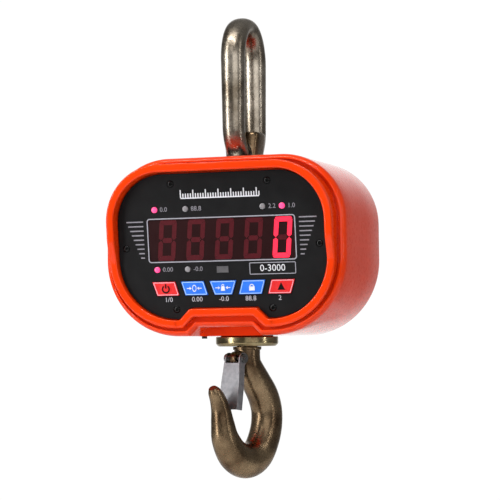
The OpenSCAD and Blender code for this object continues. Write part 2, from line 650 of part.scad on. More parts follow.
// Stations of the forged bar: [towards point, height, half in plane, half across]
hook_stations = [[0, -95, 12.2, 12.2], [0, -104, 12.2, 12.2], [-2, -112, 12.8, 12.6],
  [-13, -127, 14.4, 13.4], [-24, -142, 15.4, 14], [-29, -158, 15.8, 14],
  [-26, -177, 16.2, 14], [-14, -196, 16.6, 14], [4, -202.5, 16.6, 14],
  [22, -196, 15.8, 13.6], [34, -181, 13.6, 12.4], [38, -166, 11.4, 10.6],
  [40.5, -153, 9.4, 9], [44.5, -143, 7.8, 7.6], [49.5, -135.5, 6, 6.2],
  [52.5, -131.8, 3.6, 4]];
pivot = [17, -104.4];
ear_half = 3.5;
pin_d = 6;
module hook_frame() rotate([0, 0, -90 - hook_heading]) children();
module hook() color([0.55, 0.48, 0.38]) rig() hook_frame() difference() {
  union() {
    planar_sweep(through(hook_stations, 4), 28, power = 2.15);
    translate([0, 0, -96.5]) cylinder(d = 27.4, h = 3.2, $fn = smooth);
    translate([0, 0, -94]) cylinder(d = shank_d, h = nut_z + nut_h + 4 + 94, $fn = smooth);
    // ear that carries the latch pin
    hull() {
      translate([pivot[0], 0, pivot[1]]) bar_y(-ear_half, ear_half, 13, 32);
      translate([3, 0, -103]) bar_y(-ear_half, ear_half, 14, 32);
      translate([2, 0, -116]) bar_y(-ear_half, ear_half, 14, 32);
    }
  }
  translate([pivot[0], 0, pivot[1]]) bar_y(-20, 20, pin_d + 0.02, smooth);
  translate([0, 0, nut_z + nut_h / 2]) rotate([0, 0, 90 + hook_heading]) bar_x(60, 4, 24);
}

// Latch: a folded channel, web towards the hook point
latch_len = 49.5;
web_out = 6;
latch_t = 1.6;
flange_depth = 8;
top_half = 9.4;
low_half_w = 11;
module latch_frame() hook_frame() translate([pivot[0], 0, pivot[1]])
  rotate([0, -latch_lean, 0]) children();
module latch_blank(side, depth) translate([web_out - depth, 0, 0]) rotate([90, 0, 90])
  linear_extrude(depth) polygon([[-top_half + side, -5], [top_half - side, -5],
    [low_half_w - side, -24], [low_half_w - side, -latch_len], [-low_half_w + side, -latch_len],
    [-low_half_w + side, -24]]);
module latch() color("silver") rig() latch_frame() difference() {
  union() {
    difference() {
      latch_blank(0, flange_depth);
      translate([-latch_t, 0, 0]) latch_blank(latch_t, flange_depth + 5);
    }
    for (s = [-1, 1]) translate([0, s * (top_half - latch_t / 2), 0])
      hull() {
        bar_y(-latch_t / 2, latch_t / 2, 11, 32);
        translate([web_out - flange_depth, -latch_t / 2, -8]) cube([flange_depth - 0.2, latch_t, 1]);
      }
  }
  bar_y(-20, 20, pin_d + 0.1, smooth);
}

module latch_pin() color("gray") rig() hook_frame() translate([pivot[0], 0, pivot[1]]) {
  bar_y(-top_half - 2.4, top_half + 2, pin_d, smooth);
  translate([0, -top_half - 0.6, 0]) bar_y(-1.6, 0, 9, 32);
  translate([0, top_half + 1.9, 0]) bar_y(-1.2, 0, 9, 32);
}

// Torsion spring on the pin, between the ear and the far cheek of the latch
coil_r = 4.4;
coil_wire = 1.2;
coil_turns = 3;
coil_steps = 18;
coil_start = -ear_half - coil_wire / 2 - 0.25;
module wire_tube(path, r, sides) {
  n = len(path);
  points = [for (i = [0:n - 1]) let (
      d = path[min(i + 1, n - 1)] - path[max(i - 1, 0)], t = d / norm(d),
      u = cross(t, [0, 1, 0]), a = u / norm(u), b = cross(a, t))
    each [for (k = [0:sides - 1]) path[i] + r * (a * cos(360 * k / sides) + b * sin(360 * k / sides))]];
  skin = [for (i = [0:n - 2], k = [0:sides - 1]) let (l = (k + 1) % sides)
    [i * sides + k, i * sides + l, (i + 1) * sides + l, (i + 1) * sides + k]];
  polyhedron(points, concat(skin, [[for (k = [sides - 1:-1:0]) k]],
    [[for (k = [0:sides - 1]) (n - 1) * sides + k]]), convexity = 8);
}
coil_path = concat(
  [[-coil_r + 0.6, coil_start, coil_r + 2.6]],
  [for (k = [0:coil_turns * coil_steps]) let (w = 180 - 360 * k / coil_steps)
    [coil_r * cos(w), coil_start - (coil_wire + 0.08) * k / coil_steps, coil_r * sin(w)]],
  [[-coil_r, coil_start - (coil_wire + 0.08) * coil_turns, -12]]);
module latch_spring() color("silver") rig() latch_frame() wire_tube(coil_path, coil_wire / 2, 8);

main_housing();
rear_cover();
rear_gasket();
rear_cover_screws();
faceplate();
panel_gasket();
faceplate_screws();
display_window();
indicator_leds();
infrared_window();
infrared_receiver();
display_board();
board_standoffs();
board_screws();
key_switches();
key_power();
key_zero();
key_tare();
key_hold();
key_second();
main_board();
main_board_pillars();
main_board_screws();
amplifier_shield();
wire_headers();
buzzer();
battery();
battery_bracket();
battery_terminals();
charge_socket();
load_cell();
gauge_covers();
cell_gland();
load_cell_lead();
top_lug();
lug_stud();
lug_washer();
top_seal();
hanger_plate();
hanger_screws();
guide_plate();
guide_screws();
vent_plug();
bearing_cup();
cup_cap();
bearing_race_lower();
bearing_race_upper();
bearing_cage();
hook_nut();
nut_pin();
suspension_ring();
hook();
latch();
latch_pin();
latch_spring();
for (i = [1:5]) digit(i);
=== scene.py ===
"""Looks for the digital crane scale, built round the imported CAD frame.

Shapes are worked out in millimetres about the centre of the display, with X to the
right, Y to the rear and Z up, and row() turns them into metres in the row frame.
"""
import math

import bpy
import bmesh
from mathutils import Matrix, Vector


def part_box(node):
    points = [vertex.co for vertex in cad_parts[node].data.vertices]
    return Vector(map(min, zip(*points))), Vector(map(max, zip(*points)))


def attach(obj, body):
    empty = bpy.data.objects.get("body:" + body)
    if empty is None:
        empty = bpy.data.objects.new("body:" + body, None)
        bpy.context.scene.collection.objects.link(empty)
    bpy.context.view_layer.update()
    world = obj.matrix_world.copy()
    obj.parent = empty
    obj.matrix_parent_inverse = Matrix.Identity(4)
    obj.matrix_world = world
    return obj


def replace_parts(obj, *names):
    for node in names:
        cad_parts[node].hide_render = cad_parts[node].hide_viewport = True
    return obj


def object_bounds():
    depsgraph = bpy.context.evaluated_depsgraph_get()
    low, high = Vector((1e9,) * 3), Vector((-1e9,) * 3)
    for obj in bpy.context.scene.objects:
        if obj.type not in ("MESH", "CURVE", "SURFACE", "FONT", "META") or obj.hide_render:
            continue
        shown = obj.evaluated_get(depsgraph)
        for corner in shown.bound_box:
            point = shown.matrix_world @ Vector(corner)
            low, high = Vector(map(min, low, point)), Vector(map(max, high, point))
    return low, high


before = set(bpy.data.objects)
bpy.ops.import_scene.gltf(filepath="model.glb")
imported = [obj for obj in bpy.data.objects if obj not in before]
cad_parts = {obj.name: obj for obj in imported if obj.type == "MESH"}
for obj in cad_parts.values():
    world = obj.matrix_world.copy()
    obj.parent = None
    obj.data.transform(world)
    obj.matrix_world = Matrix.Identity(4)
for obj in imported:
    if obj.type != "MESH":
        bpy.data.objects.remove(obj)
cad_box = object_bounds()
MM = 0.001

# ---------- driving sizes, in millimetres, from the frame and the CAD source ----------

# the housing's outline is centred RISE above the display
housing_lo, housing_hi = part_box("main_housing")
HALF_W = housing_hi.x / MM
HALF_H = (housing_hi.z - housing_lo.z) / MM / 2
RISE = 1.0
DISPLAY_Z = (housing_hi.z + housing_lo.z) / MM / 2 - RISE
FLOOR_Z, ROOF_Z = RISE - HALF_H, RISE + HALF_H
REAR_Y = housing_hi.y / MM
TOP_R, LOW_R = 62.0, 72.0
SHOULDER_Y = -66.0
WALL = 5.0
# the visor's rim, its reach above and below its step, and the step's two heights
RIM_INSET, RIM_W = 7.5, 7.5
OPEN_INSET = RIM_INSET + RIM_W
VISOR_HIGH, VISOR_LOW = 82.0, 74.0
STEP_HIGH, STEP_LOW = 14.0, -20.0
PANEL_Y, PANEL_LEAN, PANEL_T, SEAL_T = 70.0, math.radians(6.7), 3.0, 1.0
SCREW_SPOTS = [(s * x, z) for s in (-1, 1) for x, z in ((47.7, 59.8), (95.4, 0.3), (47.5, -58.2))]
# the notch in the rim over the swivel, and the back of the pocket under it
NOTCH_TOP, NOTCH_HALF, NOTCH_R = -57.5, 33.0, 3.2
POCKET_BACK = -36.0
WINDOW_Z = 7.0


def row(p):
    """A point in millimetres about the display centre, in metres in the row frame."""
    return Vector((p[0], p[1], p[2] + DISPLAY_Z)) * MM


def panel(x, z, depth=0.0):
    """A point on the leaning panel; depth counts back from its face."""
    c, s = math.cos(PANEL_LEAN), math.sin(PANEL_LEAN)
    return (x, -PANEL_Y + depth * c - z * s, depth * s + z * c)


# ---------- mesh helpers ----------

def solid(name, verts, faces, merge=1e-4):
    """A bare mesh from points in millimetres, with points closer than merge joined."""
    mesh = bpy.data.meshes.new(name)
    mesh.from_pydata([row(v) for v in verts], [], faces)
    bm = bmesh.new()
    bm.from_mesh(mesh)
    bmesh.ops.remove_doubles(bm, verts=bm.verts, dist=merge * MM)
    bmesh.ops.recalc_face_normals(bm, faces=bm.faces)
    bm.to_mesh(mesh)
    bm.free()
    obj = bpy.data.objects.new(name, mesh)
    bpy.context.scene.collection.objects.link(obj)
    return obj


def make(name, verts, faces, material, body, slot, smooth=40.0, merge=1e-4):
    """A finished piece from points in millimetres, riding on a body."""
    obj = solid(name, verts, faces, merge)
    obj.data.materials.append(material)
    obj.data.shade_smooth()
    obj.data.set_sharp_from_angle(angle=math.radians(smooth))
    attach(obj, body)
    return obj


def skin(loops, closed=False):
    """Quads between loops of equal length, with flat ends unless the path is closed."""
    n, m = len(loops), len(loops[0])
    verts = [p for loop in loops for p in loop]
    faces = []
    for i in range(n if closed else n - 1):
        j = (i + 1) % n
        for k in range(m):
            after = (k + 1) % m
            faces.append((i * m + k, j * m + k, j * m + after, i * m + after))
    if not closed:
        faces.append(tuple(range(m)))
        faces.append(tuple((n - 1) * m + k for k in reversed(range(m))))
    return verts, faces


def join(parts):
    """One vertex and face list from several."""
    verts, faces = [], []
    for v, f in parts:
        base = len(verts)
        verts += v
        faces += [tuple(i + base for i in face) for face in f]
    return verts, faces


def subtract(obj, cutter):
    """obj with cutter's volume taken out."""
    cut = obj.modifiers.new("cut", "BOOLEAN")
    cut.object, cut.operation, cut.solver = cutter, "DIFFERENCE", "EXACT"
    bpy.context.view_layer.update()
    done = bpy.data.meshes.new_from_object(
        obj.evaluated_get(bpy.context.evaluated_depsgraph_get()))
    obj.modifiers.clear()
    obj.data = done
    bpy.data.objects.remove(cutter)


def offset(points, d):
    """A closed outline moved out by d along its corner bisectors."""
    n = len(points)
    area = sum(points[i][0] * points[(i + 1) % n][1] - points[(i + 1) % n][0] * points[i][1]
               for i in range(n))
    turn = 1 if area > 0 else -1
    out = []
    for i in range(n):
        p, a, b = Vector(points[i]), Vector(points[i - 1]), Vector(points[(i + 1) % n])
        e, g = (p - a).normalized(), (b - p).normalized()
        ne, ng = Vector((e.y, -e.x)) * turn, Vector((g.y, -g.x)) * turn
        mid = ne + ng
        out.append(tuple(p + mid * (d / max(0.3, mid.dot(ne)))))
    return out


def rounded(points, radius, steps=5, closed=True):
    """An outline, or an open path, with its corners rounded."""
    n = len(points)
    out = [] if closed else [points[0]]
    for i in range(n) if closed else range(1, n - 1):
        p, a, b = Vector(points[i]), Vector(points[i - 1]), Vector(points[(i + 1) % n])
        u, v = (a - p).normalized(), (b - p).normalized()
        half = math.acos(max(-1, min(1, u.dot(v)))) / 2
        r = min(radius, 0.45 * min((a - p).length, (b - p).length) * math.tan(half))
        cut = r / math.tan(half)
        centre = p + (u + v).normalized() * (r / math.sin(half))
        s, e = p + u * cut - centre, p + v * cut - centre
        turn = math.atan2(s.x * e.y - s.y * e.x, s.dot(e))
        for k in range(steps + 1):
            w = turn * k / steps
            out.append((centre.x + s.x * math.cos(w) - s.y * math.sin(w),
                        centre.y + s.x * math.sin(w) + s.y * math.cos(w)))
    return out if closed else out + [points[-1]]


def box2(x0, z0, x1, z1):
    """A rectangle as an outline."""
    return [(x0, z0), (x1, z0), (x1, z1), (x0, z1)]


def circle2(r, n):
    """Points of a circle about the origin."""
    return [(r * math.cos(2 * math.pi * k / n), r * math.sin(2 * math.pi * k / n))
            for k in range(n)]


def raised(shape, front, back):
    """A plate on the panel from depth back to depth front."""
    return skin([[panel(x, z, depth) for x, z in shape] for depth in (back, front)])


def band(outer, inner, front, back):
    """A flat ring on the panel between two outlines of equal length."""
    return skin([[panel(x, z, d) for x, z in loop] for loop, d in
                 ((outer, back), (outer, front), (inner, front), (inner, back))], closed=True)


def lathe(profile, place, n=48):
    """A turned solid from (radius, along) pairs; place(x, y, along) gives the point."""
    return skin([[place(x, y, h) for x, y in circle2(r, n)] for r, h in profile])


def catmull(stations, steps):
    """Smooth stations through the given ones."""
    out, last = [], len(stations) - 1
    for i in range(last):
        p = [stations[j] for j in (max(i - 1, 0), i, i + 1, min(i + 2, last))]
        for k in range(steps):
            t = k / steps
            out.append([0.5 * (2 * b + (c - a) * t + (2 * a - 5 * b + 4 * c - d) * t * t
                               + (3 * b - a - 3 * c + d) * t ** 3) for a, b, c, d in zip(*p)])
    out.append(list(stations[last]))
    return out


# ---------- materials ----------

def colour(c):
    """A socket's colour from red, green and blue."""
    return (*c, 1.0)


class Finish:
    """A Principled material with its small procedural network."""

    def __init__(self, name, **sockets):
        self.mat = bpy.data.materials.new(name)
        self.mat.use_nodes = True
        self.nodes, self.links = self.mat.node_tree.nodes, self.mat.node_tree.links
        self.shader = self.nodes["Principled BSDF"]
        for key, value in sockets.items():
            self.shader.inputs[key.replace("_", " ")].default_value = value
        self.place = self.nodes.new("ShaderNodeTexCoord").outputs["Object"]

    def noise(self, scale, detail=3.0):
        """Noise with scale features to the metre."""
        n = self.nodes.new("ShaderNodeTexNoise")
        n.inputs["Scale"].default_value = scale
        n.inputs["Detail"].default_value = detail
        self.links.new(self.place, n.inputs["Vector"])
        return n.outputs["Fac"]

    def ramp(self, value, stops):
        """A ramp from value; stops are (place, colour or grey)."""
        r = self.nodes.new("ShaderNodeValToRGB")
        e = r.color_ramp.elements
        while len(e) < len(stops):
            e.new(0.5)
        for item, (at, c) in zip(e, stops):
            item.position = at
            item.color = colour(c) if isinstance(c, tuple) else (c, c, c, 1.0)
        self.links.new(value, r.inputs["Fac"])
        return r.outputs["Color"]

    def times(self, a, b):
        """Two colours multiplied."""
        m = self.nodes.new("ShaderNodeMix")
        m.data_type, m.blend_type = "RGBA", "MULTIPLY"
        m.inputs[0].default_value = 1.0
        self.links.new(a, m.inputs[6])
        self.links.new(b, m.inputs[7])
        return m.outputs[2]

    def base(self, value):
        """Sets the colour."""
        self.links.new(value, self.shader.inputs["Base Color"])

    def rough(self, value):
        """Sets the roughness."""
        self.links.new(value, self.shader.inputs["Roughness"])

    def bump(self, value, height):
        """Adds relief of a height in metres over any that is there."""
        b = self.nodes.new("ShaderNodeBump")
        b.inputs["Distance"].default_value = height
        b.inputs["Strength"].default_value = 1.0
        self.links.new(value, b.inputs["Height"])
        normal = self.shader.inputs["Normal"]
        if normal.is_linked:
            self.links.new(normal.links[0].from_socket, b.inputs["Normal"])
        self.links.new(b.outputs["Normal"], normal)


def mottled(name, dark, light, scale, rough, bump, metallic=0.0, **more):
    """A finish that drifts between two colours; bump is (features to the metre, height)."""
    f = Finish(name, Metallic=metallic, **more)
    f.base(f.ramp(f.noise(scale), [(0.3, dark), (0.7, light)]))
    f.rough(f.ramp(f.noise(scale * 4, 4), [(0.3, rough[0]), (0.75, rough[1])]))
    f.bump(f.noise(bump[0], 3), bump[1])
    return f.mat


def forged(name, dark, light):
    """Plated forging: fine grain over a drifting tint, with coarse and fine relief."""
    f = Finish(name, Metallic=1.0)
    drift = f.ramp(f.noise(38, 4), [(0.32, dark), (0.68, light)])
    grain = f.ramp(f.noise(1500, 2), [(0.35, 0.72), (0.62, 1.0)])
    f.base(f.times(drift, grain))
    f.rough(f.ramp(f.noise(420, 4), [(0.3, 0.24), (0.75, 0.36)]))
    f.bump(f.noise(700, 3), 0.00007)
    f.bump(f.noise(110, 2), 0.00025)
    return f.mat


def ink(name, dark, light, rough=(0.5, 0.6), **more):
    """A thin, even print."""
    return mottled(name, dark, light, 300, rough, (1500, 0.00001), **more)


def glow(name, tint, strength, base):
    """A lit lamp: its own light over a glossy lens."""
    f = Finish(name, Coat_Weight=0.3, Coat_Roughness=0.15, Roughness=0.35)
    f.base(f.ramp(f.noise(500), [(0.3, base), (0.7, tuple(1.1 * b for b in base))]))
    f.shader.inputs["Emission Color"].default_value = colour(tint)
    f.shader.inputs["Emission Strength"].default_value = strength
    return f.mat


paint = Finish("orange_paint", Coat_Weight=0.9, Coat_Roughness=0.05, Coat_IOR=1.36,
               Specular_IOR_Level=0.02)
paint.base(paint.ramp(paint.noise(9, 3),
                      [(0.3, (0.78, 0.039, 0.0008)), (0.7, (0.84, 0.046, 0.0013))]))
paint.rough(paint.ramp(paint.noise(300, 3), [(0.3, 0.24), (0.7, 0.34)]))
paint.bump(paint.noise(420, 2), 0.00005)
PAINT = paint.mat

PANEL = mottled("panel_film", (0.0075, 0.0075, 0.008), (0.0105, 0.0105, 0.011), 60, (0.5, 0.6),
                (2600, 0.00002), Specular_IOR_Level=0.08)
WINDOW = mottled("window_film", (0.017, 0.0050, 0.0055), (0.022, 0.0062, 0.0067), 25, (0.3, 0.36),
                 (900, 0.00001), Specular_IOR_Level=0.08)
SEG_OFF = mottled("segment_unlit", (0.065, 0.005, 0.009), (0.082, 0.007, 0.011), 300,
                  (0.32, 0.42), (1500, 0.00001), Specular_IOR_Level=0.15)
SEG_ON = glow("segment_lit", (1.0, 0.013, 0.055), 1.05, (0.5, 0.01, 0.03))
LAMP_ON = glow("lamp_lit", (1.0, 0.045, 0.22), 1.0, (0.6, 0.05, 0.15))
LAMP_OFF = mottled("lamp_unlit", (0.19, 0.18, 0.19), (0.24, 0.23, 0.24), 400, (0.35, 0.45),
                   (1200, 0.00002), Coat_Weight=0.4)
INK_PALE = ink("pale_ink", (0.42, 0.41, 0.46), (0.50, 0.49, 0.54))
INK_FRAME = ink("frame_ink", (0.29, 0.285, 0.33), (0.35, 0.345, 0.39))
INK_WHITE = ink("white_ink", (0.66, 0.66, 0.70), (0.76, 0.76, 0.80))
INK_GREY = ink("grey_ink", (0.20, 0.19, 0.22), (0.25, 0.24, 0.27))
RED_KEY = mottled("red_key", (0.64, 0.010, 0.012), (0.74, 0.015, 0.016), 60, (0.38, 0.48),
                  (1400, 0.00002), Specular_IOR_Level=0.3)
BLUE_KEY = mottled("blue_key", (0.012, 0.145, 0.72), (0.018, 0.17, 0.82), 60, (0.38, 0.48),
                   (1400, 0.00002), Specular_IOR_Level=0.3)
PINK_LINE = ink("pink_line", (0.80, 0.30, 0.36), (0.88, 0.36, 0.42), (0.45, 0.55))
SKY_LINE = ink("sky_line", (0.30, 0.50, 0.86), (0.36, 0.56, 0.92), (0.45, 0.55))
INK_BLACK = ink("black_ink", (0.003, 0.002, 0.002), (0.006, 0.004, 0.004), (0.6, 0.7),
                Specular_IOR_Level=0.1)
FORGED = forged("forged_bronze", (0.105, 0.064, 0.035), (0.34, 0.24, 0.14))
FORGED_RING = forged("forged_grey", (0.18, 0.145, 0.105), (0.56, 0.495, 0.41))
ZINC = mottled("yellow_zinc", (0.20, 0.145, 0.07), (0.46, 0.39, 0.22), 45, (0.17, 0.28),
               (700, 0.00005), metallic=1.0)
SATIN = mottled("satin_steel", (0.24, 0.24, 0.255), (0.33, 0.33, 0.345), 260, (0.42, 0.55),
                (1100, 0.00006), metallic=1.0)
PIN_STEEL = mottled("pin_steel", (0.16, 0.155, 0.15), (0.25, 0.24, 0.235), 200, (0.2, 0.3),
                    (1100, 0.00005), metallic=1.0)
DARK_STEEL = mottled("dark_steel", (0.07, 0.066, 0.062), (0.13, 0.125, 0.12), 200, (0.2, 0.32),
                     (1200, 0.00005), metallic=1.0)
BLACK_SCREW = mottled("black_screw", (0.001, 0.001, 0.001), (0.002, 0.002, 0.002), 300,
                      (0.12, 0.2), (1500, 0.00003), Specular_IOR_Level=0.25)
RUBBER = mottled("rubber", (0.012, 0.012, 0.012), (0.022, 0.021, 0.021), 120, (0.6, 0.75),
                 (900, 0.0001))
PLASTIC = mottled("black_plastic", (0.014, 0.014, 0.015), (0.024, 0.024, 0.025), 120,
                  (0.4, 0.5), (1200, 0.00005))
SMOKED = mottled("smoked_window", (0.075, 0.072, 0.078), (0.10, 0.096, 0.10), 150, (0.3, 0.4),
                 (900, 0.00002), Coat_Weight=0.2)
BRIGHT = mottled("bright_steel", (0.55, 0.54, 0.52), (0.68, 0.67, 0.65), 60, (0.2, 0.3),
                 (900, 0.00004), metallic=1.0)
BRASS = mottled("brass", (0.55, 0.38, 0.12), (0.70, 0.50, 0.20), 60, (0.22, 0.32),
                (900, 0.00004), metallic=1.0)
BOARD = mottled("circuit_board", (0.008, 0.06, 0.022), (0.014, 0.09, 0.035), 120, (0.35, 0.5),
                (800, 0.00005))
IVORY = mottled("connector", (0.62, 0.58, 0.46), (0.72, 0.68, 0.56), 120, (0.4, 0.5),
                (900, 0.00004))
BATTERY = mottled("battery_case", (0.025, 0.03, 0.04), (0.04, 0.045, 0.06), 90, (0.4, 0.5),
                  (900, 0.00005))

EDGE_ANGLE = math.radians(35)


def dress(node, material, bevel):
    """A CAD node's finish, with its edges softly broken by bevel millimetres."""
    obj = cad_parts[node]
    mesh = obj.data
    if "custom_normal" in mesh.attributes:
        mesh.attributes.remove(mesh.attributes["custom_normal"])
    mesh.materials.clear()
    mesh.materials.append(material)
    mesh.shade_smooth()
    weld = obj.modifiers.new("weld", "WELD")
    weld.merge_threshold = 2e-6
    if bevel:
        edge = obj.modifiers.new("edge", "BEVEL")
        edge.width, edge.segments = bevel * MM, 3
        edge.limit_method, edge.angle_limit = "ANGLE", EDGE_ANGLE
        edge.harden_normals = True
        edge.use_clamp_overlap = True
    obj.modifiers.new("smooth", "NODES").node_group = SMOOTH


def smooth_by_angle():
    """Nodes that mark edges sharper than the edge angle, so that flats stay flat."""
    group = bpy.data.node_groups.new("smooth_by_angle", "GeometryNodeTree")
    for way in ("INPUT", "OUTPUT"):
        group.interface.new_socket("Geometry", in_out=way, socket_type="NodeSocketGeometry")
    n, links = group.nodes, group.links
    start, end = n.new("NodeGroupInput"), n.new("NodeGroupOutput")
    edge = n.new("GeometryNodeInputMeshEdgeAngle")
    sharp = n.new("FunctionNodeCompare")
    sharp.data_type, sharp.operation = "FLOAT", "GREATER_THAN"
    sharp.inputs[1].default_value = EDGE_ANGLE
    shade = n.new("GeometryNodeSetShadeSmooth")
    shade.domain = "EDGE"
    shade.inputs["Shade Smooth"].default_value = False
    links.new(edge.outputs["Unsigned Angle"], sharp.inputs[0])
    links.new(start.outputs[0], shade.inputs["Geometry"])
    links.new(sharp.outputs[0], shade.inputs["Selection"])
    links.new(shade.outputs[0], end.inputs[0])
    return group


SMOOTH = smooth_by_angle()

# ---------- housing ----------

def visor_lip(z):
    """Y of the visor lip at a height: two slopes along the panel's lean, and a step between."""
    held = min(STEP_HIGH, max(STEP_LOW, z))
    t = (held - STEP_LOW) / (STEP_HIGH - STEP_LOW)
    s = t * t * (3 - 2 * t)
    return -(VISOR_LOW + (VISOR_HIGH - VISOR_LOW) * s + math.tan(PANEL_LEAN) * (z - held))


def outline(inset, notch=True, drop=0.0):
    """The housing outline drawn in by inset; the notch over the swivel is lowered by drop."""
    arc_steps, side_steps, pts = 34, 18, []

    def corner(sx, sz, start):
        r = (TOP_R if sz > 0 else LOW_R)
        cx, cz = sx * (HALF_W - r), sz * (HALF_H - r) + RISE
        for k in range(arc_steps + 1):
            a = math.radians(start + 90 * k / arc_steps)
            pts.append((cx + (r - inset) * math.cos(a), cz + (r - inset) * math.sin(a)))

    def straight(x, z0, z1):
        for k in range(1, side_steps):
            pts.append((x, z0 + (z1 - z0) * k / side_steps))

    z_up, z_low = ROOF_Z - TOP_R, FLOOR_Z + LOW_R
    corner(1, 1, 0)
    corner(-1, 1, 90)
    straight(-HALF_W + inset, z_up, z_low)
    corner(-1, -1, 180)
    grow = inset - OPEN_INSET
    base = FLOOR_Z + inset
    top, half = NOTCH_TOP + grow - drop, NOTCH_HALF + grow * math.tan(math.radians(22.5))
    foot = half + top - base
    dent = [(-foot - 6, base), (-foot, base), (-half, top)]
    dent += [(-x, z) for x, z in reversed(dent)]
    dent = rounded(dent, NOTCH_R, 6, closed=False)
    pts.extend((x, z if notch else base) for x, z in dent)
    corner(1, -1, 270)
    straight(HALF_W - inset, z_low, z_up)
    return pts


def panel_y(z, depth=0.0):
    """Y of the panel plane at a height, depth behind its face."""
    return -PANEL_Y + depth / math.cos(PANEL_LEAN) - z * math.tan(PANEL_LEAN)


def quarter(d0, y0, d1, y1, n, first="y"):
    """Quarter ellipse from (d0, y0) to (d1, y1), leaving along y or along d."""
    out = []
    for k in range(1, n + 1):
        a = math.pi / 2 * k / n
        s, c = math.sin(a), 1 - math.cos(a)
        out.append((d0 + (d1 - d0) * (c if first == "y" else s),
                    y0 + (y1 - y0) * (s if first == "y" else c)))
    return out


def housing_shell():
    """The cast housing as one closed wall: rear rim, sides, shoulder, visor, recess, inside."""
    loops = []

    def loop(inset, y, notch=True, drop=0.0):
        at = y if callable(y) else (lambda z: y)
        loops.append([(x, at(z), z) for x, z in outline(inset, notch, drop)])

    edge, rear_rim, rear_lip, rear_seat, rear_shelf, rear_wall = 8.0, 7.0, 0.6, 48.0, 42.0, 14.0
    groove, deep, drop, lip, mid_y, pocket_edge = 2.6, 5.0, 2.2, 1.5, 8.0, 0.7
    # rear rim and sides
    loop(rear_rim, rear_seat, False)
    loop(rear_rim, REAR_Y - rear_lip, False)
    loop(rear_rim - rear_lip, REAR_Y, False)
    for d, y in quarter(rear_rim - 1, REAR_Y, 0, REAR_Y - edge, 7, "d"):
        loop(d, y, False)
    loop(0, mid_y, False)
    loop(0, POCKET_BACK + pocket_edge, False)
    loop(0, POCKET_BACK, False)
    # pocket over the swivel, then the shoulder
    loop(0, POCKET_BACK, drop=drop)
    loop(0, SHOULDER_Y + edge, drop=drop)
    for d, y in quarter(0, SHOULDER_Y + edge, RIM_INSET - groove - 0.6, SHOULDER_Y, 8):
        loop(d, y, drop=drop)
    # groove at the foot of the visor
    loop(RIM_INSET - groove - 0.1, SHOULDER_Y + 0.25, drop=drop)
    loop(RIM_INSET - groove + 0.2, SHOULDER_Y + deep, drop=drop)
    loop(RIM_INSET + 0.25, SHOULDER_Y + deep)
    loop(RIM_INSET + 0.25, SHOULDER_Y - 0.6)
    # visor side, lip and recess wall
    loop(RIM_INSET, lambda z: min(SHOULDER_Y - 1.0, 0.5 * (SHOULDER_Y + visor_lip(z))))
    lip_path = [(RIM_INSET, lip)] + quarter(RIM_INSET, lip, RIM_INSET + lip, 0, 4)
    lip_path += [(OPEN_INSET - lip, 0)] + quarter(OPEN_INSET - lip, 0, OPEN_INSET, lip, 4, "d")
    for d, y in lip_path:
        loop(d, lambda z, y=y: visor_lip(z) + y)
    loop(OPEN_INSET, lambda z: panel_y(z, -0.8))
    # ledge behind the panel and the inside
    ledge, seat, seat_back = 8.0, PANEL_T + SEAL_T + 0.05, PANEL_T + SEAL_T + WALL
    loop(OPEN_INSET, lambda z: panel_y(z, seat))
    loop(OPEN_INSET + ledge, lambda z: panel_y(z, seat))
    loop(OPEN_INSET + ledge, lambda z: panel_y(z, seat_back))
    loop(RIM_INSET + WALL, lambda z: panel_y(z, seat_back))
    loop(RIM_INSET + WALL, SHOULDER_Y * 0.8)
    loop(WALL, SHOULDER_Y * 0.79)
    loop(WALL, POCKET_BACK + WALL)
    loop(WALL, POCKET_BACK + WALL, False)
    loop(WALL, rear_shelf, False)
    loop(rear_wall, rear_shelf, False)
    loop(rear_wall, rear_seat, False)
    shell = make("housing_shell", *skin(loops, closed=True), PAINT, "housing", "housing_paint",
                 32, 0.002)
    subtract(shell, cutters())
    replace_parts(shell, "main_housing")


def cutters():
    """Openings for the lug, the bearing cup, and the hanger and guide screws."""
    through, seal_half, cup_r = 20.0, (25, 40), 25.5
    hanger_r, hanger_head, hanger_at = 4.8, 2.8, (38, 24)
    guide_r, guide_head, guide_at = 3.8, 2.6, (40, 18)
    slot = rounded(box2(-seal_half[0], -seal_half[1], seal_half[0], seal_half[1]), 8, 8)

    def hole(x, y, r, z0, z1, n=32):
        return lathe([(r, z0), (r, z1)], lambda u, v, h: (x + u, y + v, h), n)

    corners = [(sx, sy) for sx in (-1, 1) for sy in (-1, 1)]
    parts = [skin([[(x, y, ROOF_Z + z) for x, y in slot] for z in (-through, through)]),
             hole(0, 0, cup_r, FLOOR_Z - through, FLOOR_Z + through, 96)]
    parts += [hole(sx * hanger_at[0], sy * hanger_at[1], hanger_r,
                   ROOF_Z - hanger_head, ROOF_Z + through) for sx, sy in corners]
    parts += [hole(sx * guide_at[0], sy * guide_at[1], guide_r,
                   FLOOR_Z - through, FLOOR_Z + guide_head) for sx, sy in corners]
    return solid("cutters", *join(parts))


housing_shell()

# ---------- display ----------

DIGIT_H, DIGIT_W, BAR_W, SLANT = 38.0, 17.4, 4.6, math.tan(math.radians(6))
DIGIT_PITCH, DIGIT_SHIFT = 28.4, 3.2
DIGIT_X = [k * DIGIT_PITCH + DIGIT_SHIFT for k in range(-2, 3)]
WINDOW_FRONT = 0.6
# the display shows a lone nought at its right end
LAST_LIT = "abcdef"


